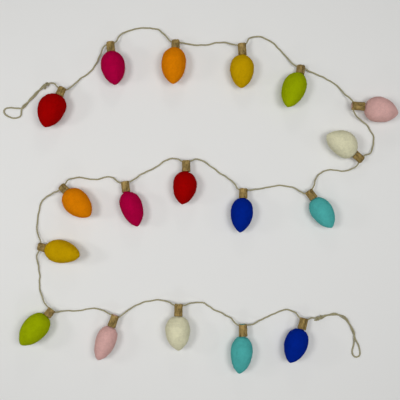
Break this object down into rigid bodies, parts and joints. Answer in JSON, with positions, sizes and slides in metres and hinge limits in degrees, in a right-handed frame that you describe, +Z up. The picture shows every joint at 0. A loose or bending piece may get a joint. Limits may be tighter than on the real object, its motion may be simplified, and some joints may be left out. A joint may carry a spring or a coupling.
{
  "type": "felt christmas light garland",
  "caption": "String of felted wool light-bulb shapes with rolled felt caps, threaded on natural twine with a hanging loop at each end, lying in a zig-zag.",
  "frame": {"origin": "middle of the garland's outline as it lies, on the surface it lies on", "axes": "+X to the right in the picture, +Y to the top of the picture, +Z up from the surface towards the viewer"},
  "size_m": [0.5564, 0.4887, 0.038],
  "materials": {
    "felt_red": "matte felted wool",
    "felt_magenta": "matte felted wool",
    "felt_orange": "matte felted wool",
    "felt_gold": "matte felted wool",
    "felt_lime": "matte felted wool",
    "felt_pink": "matte felted wool",
    "felt_cream": "matte felted wool",
    "felt_turquoise": "matte felted wool",
    "felt_blue": "matte felted wool",
    "cap_felt": "matte felt strip",
    "twine": "rough bast fibre"
  },
  "bodies": {
    "root": {"bulb_01": "felt_red", "cap_01": "cap_felt", "bulb_02": "felt_magenta", "cap_02": "cap_felt", "bulb_03": "felt_orange", "cap_03": "cap_felt", "bulb_04": "felt_gold", "cap_04": "cap_felt", "bulb_05": "felt_lime", "cap_05": "cap_felt", "bulb_06": "felt_pink", "cap_06": "cap_felt", "bulb_07": "felt_cream", "cap_07": "cap_felt", "bulb_08": "felt_turquoise", "cap_08": "cap_felt", "bulb_09": "felt_blue", "cap_09": "cap_felt", "bulb_10": "felt_red", "cap_10": "cap_felt", "bulb_11": "felt_magenta", "cap_11": "cap_felt", "bulb_12": "felt_orange", "cap_12": "cap_felt", "bulb_13": "felt_gold", "cap_13": "cap_felt", "bulb_14": "felt_lime", "cap_14": "cap_felt", "bulb_15": "felt_pink", "cap_15": "cap_felt", "bulb_16": "felt_cream", "cap_16": "cap_felt", "bulb_17": "felt_turquoise", "cap_17": "cap_felt", "bulb_18": "felt_blue", "cap_18": "cap_felt", "twine": "twine"}
  },
  "joints": []
}
